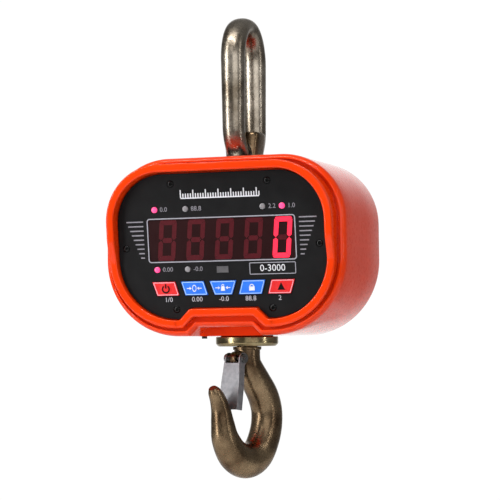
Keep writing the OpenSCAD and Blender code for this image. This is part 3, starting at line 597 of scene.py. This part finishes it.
def segments():
    """The seven bars of a digit about its centre, as outlines by name."""
    gap, h, w, t = 0.2, DIGIT_H / 2, DIGIT_W / 2, BAR_W
    mid, cut = t / 2, 1.5
    a = [(-w + cut, h), (w - cut, h), (w - gap, h - cut), (w - t, h - t), (-w + t, h - t),
         (-w + gap, h - cut)]
    g = [(-w + t - mid + 1.4, 0), (-w + t + 0.4, mid), (w - t - 0.4, mid), (w - t + mid - 1.4, 0),
         (w - t - 0.4, -mid), (-w + t + 0.4, -mid)]
    f = [(-w, h - cut - gap), (-w + t - gap, h - t - gap), (-w + t - gap, mid + gap),
         (-w + mid, gap), (-w, mid * 0.9)]

    def turned(bar, sx, sz):
        return [(sx * x, sz * z) for x, z in bar]

    return {"a": a, "g": g, "f": f, "b": turned(f, -1, 1), "e": turned(f, 1, -1),
            "c": turned(f, -1, -1), "d": turned(a, 1, -1)}


def digit_bars(lit):
    """Every lit or every unlit bar of the display."""
    parts = []
    for i, x0 in enumerate(DIGIT_X):
        for name, bar in segments().items():
            if (i == len(DIGIT_X) - 1 and name in LAST_LIT) == lit:
                pts = [(x0 + x + z * SLANT, WINDOW_Z + z) for x, z in bar]
                parts.append(raised(rounded(pts, 0.5, 3), WINDOW_FRONT - 0.12, WINDOW_FRONT + 0.1))
    return join(parts)


make("digits_unlit", *digit_bars(False), SEG_OFF, "housing", "window_red")
make("digits_lit", *digit_bars(True), SEG_ON, "housing", "window_red")

# ---------- lamps ----------

LED_R, LED_UPPER, LED_LOWER = 2.7, 36, -20.5
LED_SPOTS = [(-65.1, LED_UPPER, True), (-34, LED_UPPER, False), (42.1, LED_UPPER, False),
             (60.9, LED_UPPER, True), (-65.2, LED_LOWER, True), (-34.5, LED_LOWER, False)]


def lamp(x, z):
    """A domed lens standing just proud of the panel."""
    profile = [(LED_R, 4.0), (LED_R, -0.2), (LED_R * 0.9, -0.42), (LED_R * 0.68, -0.58),
               (LED_R * 0.38, -0.66), (0.02, -0.7)]
    return lathe(profile, lambda u, v, h: panel(x + u, z + v, h), 36)


lit = make("lamps_lit", *join([lamp(x, z) for x, z, on in LED_SPOTS if on]), LAMP_ON,
           "housing", "lens_pink")
dark = make("lamps_unlit", *join([lamp(x, z) for x, z, on in LED_SPOTS if not on]), LAMP_OFF,
            "housing", "lens_pink")
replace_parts(lit, "indicator_leds")
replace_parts(dark, "indicator_leds")

# ---------- panel screws ----------

# radius and depth, from the shank's end over the domed head into its socket
SCREW_PROFILE = [(1.5, 9.0), (1.5, 1.4), (3.2, 1.4), (3.2, 0.7), (3.05, 0.3), (2.6, -0.1),
                 (2.0, -0.35), (1.3, -0.48), (1.1, -0.45), (1.0, -0.2), (1.0, 0.7), (0.02, 0.7)]
heads = [lathe(SCREW_PROFILE, lambda u, v, h, sx=sx, sz=sz: panel(sx + u, sz + v, h), 32)
         for sx, sz in SCREW_SPOTS]
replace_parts(make("panel_screws", *join(heads), BLACK_SCREW, "housing", "black_steel", 50),
            "faceplate_screws")

# ---------- print on the panel ----------

INK_T, INK_ROOT = 0.06, 0.02


def printed(name, outlines, material, body="housing", slot="panel_black", lift=0.0):
    """Outlines printed on the panel, or on a face that stands lift in front of it."""
    parts = [raised(shape, -INK_T - lift, INK_ROOT - lift) for shape in outlines]
    make(name, *join(parts), material, body, slot)


def line2(x0, z0, x1, z1, w):
    """A stroke of width w as an outline."""
    d = Vector((x1 - x0, z1 - z0)).normalized() * (w / 2)
    n = Vector((-d.y, d.x))
    return [(x0 - n.x, z0 - n.y), (x1 - n.x, z1 - n.y),
            (x1 + n.x, z1 + n.y), (x0 + n.x, z0 + n.y)]


def arc2(x, z, r, w, a0, a1, n=24):
    """A curved stroke as an outline."""
    at = [math.radians(a0 + (a1 - a0) * k / n) for k in range(n + 1)]
    outer, inner = r + w / 2, r - w / 2
    return ([(x + outer * math.cos(a), z + outer * math.sin(a)) for a in at]
            + [(x + inner * math.cos(a), z + inner * math.sin(a)) for a in reversed(at)])


def framed(name, half_w, half_z, cx, cz, w, radius):
    """A rounded frame line of width w."""
    outer = rounded(box2(cx - half_w, cz - half_z, cx + half_w, cz + half_z), radius, 6)
    inner = offset(outer, -w)
    make(name, *band(outer, inner, -INK_T, INK_ROOT), INK_FRAME, "housing", "panel_black")


def side_bars():
    """Two stacks of bars beside the window, shorter towards the bottom."""
    count, top_z, pitch, inner_x, outer_x, taper = 9, 25.1, 4.25, 76.9, 93.8, 13.0
    bars = []
    for k in range(count):
        z, end = top_z - pitch * k, outer_x - taper * k / (count - 1)
        bars += [line2(s * inner_x, z, s * end, z, 1.15) for s in (-1, 1)]
    return bars


def scale_rule():
    """A graduated rule in the place of the panel's title."""
    left, length, foot, short, tall, ticks, w = -38.0, 77.5, 46.0, 50.4, 53.8, 32, 1.1
    rule = [line2(left, foot, left + length, foot, w)]
    for k in range(ticks):
        x = left + length * k / (ticks - 1)
        rule.append(line2(x, foot + 0.5, x, tall if k % 5 == 0 else short, w))
    return rule


RATING_X, RATING_Z = 49.2, -21.3
framed("window_frame", 73.3, 20.9, 0, WINDOW_Z, 1.0, 3.0)
framed("rating_frame", 22.6, 5.6, RATING_X, RATING_Z, 0.7, 1.2)
printed("side_bars", side_bars(), INK_GREY)
printed("scale_rule", scale_rule(), INK_WHITE)


def numerals(name, text, x, z, height, material, align="LEFT"):
    """Plain figures on the panel, in the built-in typeface."""
    thick, size_to_height = 0.03, 1.38
    curve = bpy.data.curves.new(name, "FONT")
    curve.body, curve.size = text, height * size_to_height
    curve.align_x, curve.align_y = align, "CENTER"
    curve.extrude = thick
    curve.resolution_u = 3
    obj = bpy.data.objects.new(name + "_curve", curve)
    bpy.context.scene.collection.objects.link(obj)
    bpy.context.view_layer.update()
    mesh = bpy.data.meshes.new_from_object(
        obj.evaluated_get(bpy.context.evaluated_depsgraph_get()))
    verts = [panel(x + v.co.x, z + v.co.y, -v.co.z - thick) for v in mesh.vertices]
    faces = [tuple(p.vertices) for p in mesh.polygons]
    bpy.data.objects.remove(obj)
    make(name, verts, faces, material, "housing", "panel_black")


for label, (x, z, _) in zip(("0.0", "88.8", "2.2", "1.0", "0.00", "-0.0"), LED_SPOTS):
    numerals(f"lamp_mark_{x:.0f}_{z:.0f}".replace("-", "m"), label, x + 5.6, z, 4.4, INK_GREY)
numerals("rating_figures", "0-3000", RATING_X, RATING_Z, 6.4, INK_WHITE, "CENTER")

# ---------- keys ----------

KEY_Z, KEY_H, KEY_PROUD, DOME_H = WINDOW_Z - 45.4, 12.9, 1.1, 0.25
# name, middle of the top edge, middle of the lower edge, and their half lengths
KEYS = [("power", -59, -55, 11.2, 10.9), ("zero", -30.4, -26.5, 11.1, 11.1),
        ("tare", 0, 0, 13, 8.4),
        ("hold", 30.4, 26.5, 11.1, 11.1), ("second", 59, 55, 11.2, 10.9)]


def key_outline(top, low, top_half, low_half):
    """A key's outline, a leaning trapezium."""
    h = KEY_H / 2
    return [(low - low_half, KEY_Z - h), (low + low_half, KEY_Z - h),
            (top + top_half, KEY_Z + h), (top - top_half, KEY_Z + h)]


def arrow(x0, x1, z, head=2.0, w=0.7):
    """An arrow from x0 to x1."""
    s = 1 if x1 > x0 else -1
    return [line2(x0, z, x1 - s * head * 0.6, z, w),
            [(x1, z), (x1 - s * head, z + head * 0.75), (x1 - s * head, z - head * 0.75)]]


def ring2(x, z, r, w, squeeze=1.0):
    """A closed curved stroke, in two halves."""
    halves = [arc2(0, 0, r, w, a, a + 180) for a in (0, 180)]
    return [[(x + u * squeeze, z + v) for u, v in h] for h in halves]


def icon(name, x):
    """A key's sign: a power sign, a nought or a weight between arrows, a padlock, a triangle."""
    z = KEY_Z
    arrows = arrow(x - 7.4, x - 2.7, z) + arrow(x + 7.4, x + 2.7, z)
    if name == "power":
        return [arc2(x, z - 0.3, 3.3, 1.4, 125, 415), line2(x, z + 0.4, x, z + 4.4, 1.4)]
    if name == "zero":
        return ring2(x, z, 2.9, 0.8, 0.62) + arrows
    if name == "tare":
        weight = [(x - 2.1, z - 2.9), (x + 2.1, z - 2.9), (x + 1.5, z + 1.2), (x - 1.5, z + 1.2)]
        return [weight] + ring2(x, z + 2.1, 1.0, 0.6) + arrows
    if name == "hold":
        return [box2(x - 2.7, z - 3.2, x + 2.7, z + 0.6), arc2(x, z + 0.6, 1.9, 0.8, 0, 180)]
    return [[(x - 3.6, z - 3.1), (x + 3.6, z - 3.1), (x, z + 3.9)]]


def key_dressing(name, top, low, top_half, low_half):
    """A key's pale outline, its slight dome and its sign, over the CAD key."""
    if name in ("power", "second"):
        cap, line, sign, slot = RED_KEY, PINK_LINE, INK_BLACK, "key_red"
    else:
        cap, line, sign, slot = BLUE_KEY, SKY_LINE, INK_WHITE, "key_blue"
    body, face, middle = f"{name}_key", -KEY_PROUD, (top + low) / 2
    outer = rounded(offset(key_outline(top, low, top_half, low_half), -0.35), 0.9, 4)
    make(f"{name}_outline", *band(outer, offset(outer, -0.75), face - 0.05, face + 0.05),
         line, body, slot)
    dome = [(5.6, 0.02), (5.3, -0.06), (4.6, -0.13), (3.2, -0.2), (1.4, -0.24), (0.02, -DOME_H)]
    make(f"{name}_dome", *lathe(dome, lambda u, v, h: panel(middle + u, KEY_Z + v, face + h), 40),
         cap, body, slot)
    printed(f"{name}_icon", icon(name, middle), sign, body, slot, lift=KEY_PROUD + DOME_H + 0.01)
    dress(f"key_{name}", cap, 0.25)


for key in KEYS:
    key_dressing(*key)
for (name, _, low, _, _), label in zip(KEYS, ("1/0", "0.00", "-0.0", "88.8", "2")):
    numerals(f"{name}_mark", label, low, KEY_Z - 10.6, 4.6, INK_PALE, "CENTER")

# ---------- suspension ring and hook ----------

# the ring's bar spacing, bar thickness, straight leg, and thickness at the crown
RING_SPACING, RING_BAR, RING_LEG, CROWN_T = 62.0, 23.0, 64.0, 16.5
LUG_HOLE_Z = 86.0


def bar_section(a, b, sides, power):
    """Points of a superellipse, the section of a forged bar."""
    out = []
    for k in range(sides):
        c, s = math.cos(2 * math.pi * k / sides), math.sin(2 * math.pi * k / sides)
        out.append((a * math.copysign(abs(c) ** (2 / power), c),
                    b * math.copysign(abs(s) ** (2 / power), s)))
    return out


def sweep(stations, place, power, closed=False, sides=56):
    """A bar section carried along stations (u, z, half in plane, half across)."""
    n, loops = len(stations), []
    for i, (u, z, a, b) in enumerate(stations):
        p = stations[i - 1] if closed or i else stations[0]
        q = stations[(i + 1) % n] if closed or i < n - 1 else stations[-1]
        d = Vector((q[0] - p[0], q[1] - p[1])).normalized()
        loops.append([place(u + d.y * s, t, z - d.x * s)
                      for s, t in bar_section(a, b, sides, power)])
    return skin(loops, closed)


def ring_stations():
    """The ring's centre line and half sizes: a thinner foot, round legs, a flattened crown."""
    leg, foot, low, foot_steps, crown_steps = RING_BAR / 2, 10.7, 10.2, 48, 56
    r, outer = RING_SPACING / 2, (RING_SPACING + RING_BAR) / 2
    foot_z, crown_z = LUG_HOLE_Z + r, LUG_HOLE_Z + r + RING_LEG
    stations = []
    for k in range(foot_steps + 1):
        w = math.radians(-180 + 180 * k / foot_steps)
        h = low + (foot - low) * abs(math.cos(w)) ** 1.5
        stations.append((r * math.cos(w), foot_z + r * math.sin(w), h, h))
    for k in range(crown_steps + 1):
        w = math.radians(180 * k / crown_steps)
        flat = math.sin(w) ** 2
        h = leg + (CROWN_T / 2 - leg) * flat
        stations.append(((outer - h) * math.cos(w), crown_z + (outer - h) * math.sin(w),
                         h, leg + 0.5 * flat))
    return stations


ring = make("forged_ring", *sweep(ring_stations(), lambda u, t, z: (-t, u, z), 2.1, closed=True),
            FORGED_RING, "ring", "forged_steel")
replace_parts(ring, "suspension_ring")

# height and half width of the lug, from inside the roof to its rounded top
LUG = [(42, 20), (76, 20), (81, 17.6), (86, 15.6), (92, 15.9), (100, 17.0), (108, 18.1),
       (110.4, 18.0), (111.6, 17.2), (112, 15.8)]
LUG_HALF_Y, LUG_BORE, LUG_SHOULDER_Z = 16.0, 12.6, 109


def ring_eye():
    """The lug's eye: a torus round the foot of the ring."""
    r, loops = RING_SPACING / 2, []
    for x, y in circle2(1, 96):
        loops.append([(u, (r + v) * x, LUG_HOLE_Z + r + (r + v) * y)
                      for u, v in circle2(LUG_BORE, 48)])
    return solid("eye", *skin(loops, closed=True))


def forged_lug():
    """The lug that the ring hangs in."""
    loops = []
    for z, w in LUG:
        half_y = LUG_HALF_Y - max(0, z - LUG_SHOULDER_Z) * 0.6
        loops.append([(x, y, z) for x, y in bar_section(w, half_y, 64, 4.5)])
    lug = make("forged_lug", *skin(loops), FORGED, "housing", "forged_steel", 35)
    subtract(lug, ring_eye())
    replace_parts(lug, "top_lug")


forged_lug()

# the hook's plane is turned from straight ahead, as the photograph shows it
HOOK_HEADING = math.radians(20)
TOWARD = Vector((-math.sin(HOOK_HEADING), -math.cos(HOOK_HEADING)))
ACROSS = Vector((math.cos(HOOK_HEADING), -math.sin(HOOK_HEADING)))
PIVOT = (17.0, -104.4)
# along, height, half in plane, half across
HOOK_STATIONS = [(0, -95, 12.2, 12.2), (0, -104, 12.2, 12.2), (-2, -112, 12.8, 12.6),
                 (-13, -127, 14.4, 13.4), (-24, -142, 15.4, 14), (-29, -158, 15.8, 14),
                 (-26, -177, 16.2, 14), (-14, -196, 16.6, 14), (4, -202.5, 16.6, 14),
                 (22, -196, 15.8, 13.6), (34, -181, 13.6, 12.4), (38, -166, 11.4, 10.6),
                 (40.5, -153, 9.4, 9), (44.5, -143, 7.8, 7.6), (49.5, -135.5, 6, 6.2),
                 (52.5, -131.8, 3.6, 4)]


def hook_place(u, t, z):
    """A point of the hook's own plane in the display frame."""
    p = TOWARD * u + ACROSS * t
    return (p.x, p.y, z)


def hook_ear():
    """The rounded ear that carries the latch pin."""
    def lobe(x, z, r, a0, a1):
        at = [math.radians(a0 + (a1 - a0) * k / 14) for k in range(15)]
        return [(x + r * math.cos(a), z + r * math.sin(a)) for a in at]

    shape = lobe(*PIVOT, 6.5, -50, 95) + lobe(3, -103, 7, 95, 180) + lobe(2, -116, 7, 180, 310)
    half, edge = 3.5, 1.1
    turns = [math.radians(w) for w in (0, 30, 60, 90)]
    path = [(1, a) for a in reversed(turns)] + [(-1, a) for a in turns]
    return skin([[hook_place(x, -side * (half - edge * (1 - math.sin(a))), z)
                  for x, z in offset(shape, -edge * (1 - math.cos(a)))] for side, a in path])


collar = lathe([(10, -80), (10, -93.2), (13.6, -93.4), (13.7, -94.0), (13.7, -96.0), (13.0, -96.5),
                (9, -96.5)], lambda x, y, h: (x, y, h), 56)
hook = make("forged_hook", *join([sweep(catmull(HOOK_STATIONS, 9), hook_place, 2.15),
                                  collar, hook_ear()]), FORGED, "swivel", "forged_steel")
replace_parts(hook, "hook")

# ---------- carried-over CAD nodes ----------

# node: finish and broken edge in millimetres
FINISHES = {
    "rear_cover": (PAINT, 0), "rear_gasket": (RUBBER, 0), "rear_cover_screws": (BRIGHT, 0.3),
    "faceplate": (PANEL, 0.15), "panel_gasket": (RUBBER, 0),
    "display_window": (WINDOW, 0.1), "infrared_window": (SMOKED, 0.15),
    "infrared_receiver": (PLASTIC, 0), "display_board": (BOARD, 0), "board_standoffs": (BRASS, 0.2),
    "board_screws": (BRIGHT, 0.2), "key_switches": (PLASTIC, 0.1), "main_board": (BOARD, 0),
    "main_board_pillars": (BRASS, 0.2), "main_board_screws": (BRIGHT, 0.2),
    "amplifier_shield": (BRIGHT, 0.3), "wire_headers": (IVORY, 0.2), "buzzer": (PLASTIC, 0.3),
    "battery": (BATTERY, 1.2), "battery_bracket": (BRIGHT, 0.3), "battery_terminals": (BRIGHT, 0.1),
    "charge_socket": (PLASTIC, 0.3), "load_cell": (BRIGHT, 0.4), "gauge_covers": (BRASS, 0.2),
    "cell_gland": (BRIGHT, 0.3), "load_cell_lead": (RUBBER, 0),
    "lug_stud": (BRIGHT, 0.3), "lug_washer": (BRIGHT, 0.4), "top_seal": (RUBBER, 0.3),
    "hanger_plate": (BRIGHT, 0.4), "hanger_screws": (BLACK_SCREW, 0.3), "guide_plate": (BRIGHT, 0.4),
    "guide_screws": (BLACK_SCREW, 0.4), "vent_plug": (RUBBER, 0.3),
    "bearing_cup": (ZINC, 0.9), "cup_cap": (BRIGHT, 0.4),
    "bearing_race_lower": (BRIGHT, 0.2), "bearing_race_upper": (BRIGHT, 0.2),
    "bearing_cage": (BRASS, 0), "hook_nut": (BRIGHT, 0.4), "nut_pin": (BRIGHT, 0.2),
    "latch": (SATIN, 0.45), "latch_pin": (PIN_STEEL, 1.2), "latch_spring": (DARK_STEEL, 0),
}
for i in range(len(DIGIT_X)):
    FINISHES[f"digit_module_{i + 1}"] = (PLASTIC, 0.2)
for node, (finish, edge) in FINISHES.items():
    dress(node, finish, edge)

# ---------- floor, light and camera ----------

AZIMUTH, ELEVATION, ROLL = math.radians(19), math.radians(-2.7), math.radians(-0.7)
DISTANCE, FOCAL_MM, SENSOR_MM = 1.976, 147.888, 36.0
AIM_RIGHT, AIM_UP = 3.85, -0.48

back = Vector((math.sin(AZIMUTH) * math.cos(ELEVATION),
               -math.cos(AZIMUTH) * math.cos(ELEVATION), math.sin(ELEVATION)))
right = (-back).cross(Vector((0, 0, 1))).normalized()
up = right.cross(-back)
right, up = (right * math.cos(ROLL) + up * math.sin(ROLL),
             up * math.cos(ROLL) - right * math.sin(ROLL))
target = row((0, 0, 0)) + (right * AIM_RIGHT + up * AIM_UP) * MM

lens = bpy.data.cameras.new("camera")
lens.sensor_width = SENSOR_MM
lens.lens = FOCAL_MM
camera = bpy.data.objects.new("camera", lens)
bpy.context.scene.collection.objects.link(camera)
camera.matrix_world = Matrix.Translation(target + back * DISTANCE) @ Matrix(
    (right, up, back)).transposed().to_4x4()
bpy.context.scene.camera = camera


LIGHT_AIM = Vector((0, 0, -0.2))


def softbox(name, azimuth, height, distance, size, power):
    """A rectangular soft light, turned towards the scale."""
    lamp_data = bpy.data.lights.new(name, "AREA")
    lamp_data.shape = "RECTANGLE"
    lamp_data.size, lamp_data.size_y = size
    lamp_data.energy = power
    obj = bpy.data.objects.new(name, lamp_data)
    bpy.context.scene.collection.objects.link(obj)
    a = math.radians(azimuth)
    obj.location = Vector((math.sin(a) * distance, -math.cos(a) * distance, height))
    obj.rotation_mode = "QUATERNION"
    obj.rotation_quaternion = (obj.location - LIGHT_AIM).to_track_quat("Z", "Y")


softbox("left_strip", -42, 0.1, 1.4, (0.3, 1.6), 15)
softbox("right_strip", 87, 0.1, 1.5, (0.06, 1.5), 3)
softbox("top_strip", -12, 1.1, 0.75, (1.5, 0.1), 15)
softbox("top_box", -5, 1.3, 0.6, (1.2, 0.6), 5)
softbox("wide_front", 36, 0.3, 2.4, (2.2, 1.2), 12.4)
softbox("front_fill", 0, 1.5, 2.6, (1.2, 0.9), 5)

# the world is bright straight behind the scale and dims outwards, as a lit backdrop does
GLOW_INNER, GLOW_OUTER, GLOW_MIN, GLOW_MAX = math.radians(14), math.radians(36), 0.18, 1.03
world = bpy.data.worlds.new("studio")
bpy.context.scene.world = world
world.use_nodes = True
wn, wl = world.node_tree.nodes, world.node_tree.links
coord, dot = wn.new("ShaderNodeTexCoord"), wn.new("ShaderNodeVectorMath")
dot.operation = "DOT_PRODUCT"
dot.inputs[1].default_value = tuple(-back)
fade = wn.new("ShaderNodeMapRange")
fade.interpolation_type = "SMOOTHSTEP"
fade.inputs["From Min"].default_value = math.cos(GLOW_OUTER)
fade.inputs["From Max"].default_value = math.cos(GLOW_INNER)
fade.inputs["To Min"].default_value = GLOW_MIN
fade.inputs["To Max"].default_value = GLOW_MAX
wl.new(coord.outputs["Generated"], dot.inputs[0])
wl.new(dot.outputs["Value"], fade.inputs["Value"])
wl.new(fade.outputs["Result"], wn["Background"].inputs["Strength"])
wn["Background"].inputs["Color"].default_value = (1, 1, 1, 1)

pale = Finish("pale_floor")
pale.base(pale.ramp(pale.noise(2), [(0.3, (0.90, 0.90, 0.90)), (0.7, (0.93, 0.93, 0.93))]))
pale.shader.inputs["Roughness"].default_value = 0.9
pale.shader.inputs["Specular IOR Level"].default_value = 0.0
floor_z, floor_r, floor_sides = cad_box[0].z - 0.2, 1.2, 96
floor_mesh = bpy.data.meshes.new("floor")
floor_mesh.from_pydata([(x, y, floor_z) for x, y in circle2(floor_r, floor_sides)], [],
                       [tuple(range(floor_sides))])
floor_mesh.materials.append(pale.mat)
floor = bpy.data.objects.new("floor", floor_mesh)
bpy.context.scene.collection.objects.link(floor)

bpy.context.scene.view_settings.view_transform = "Standard"
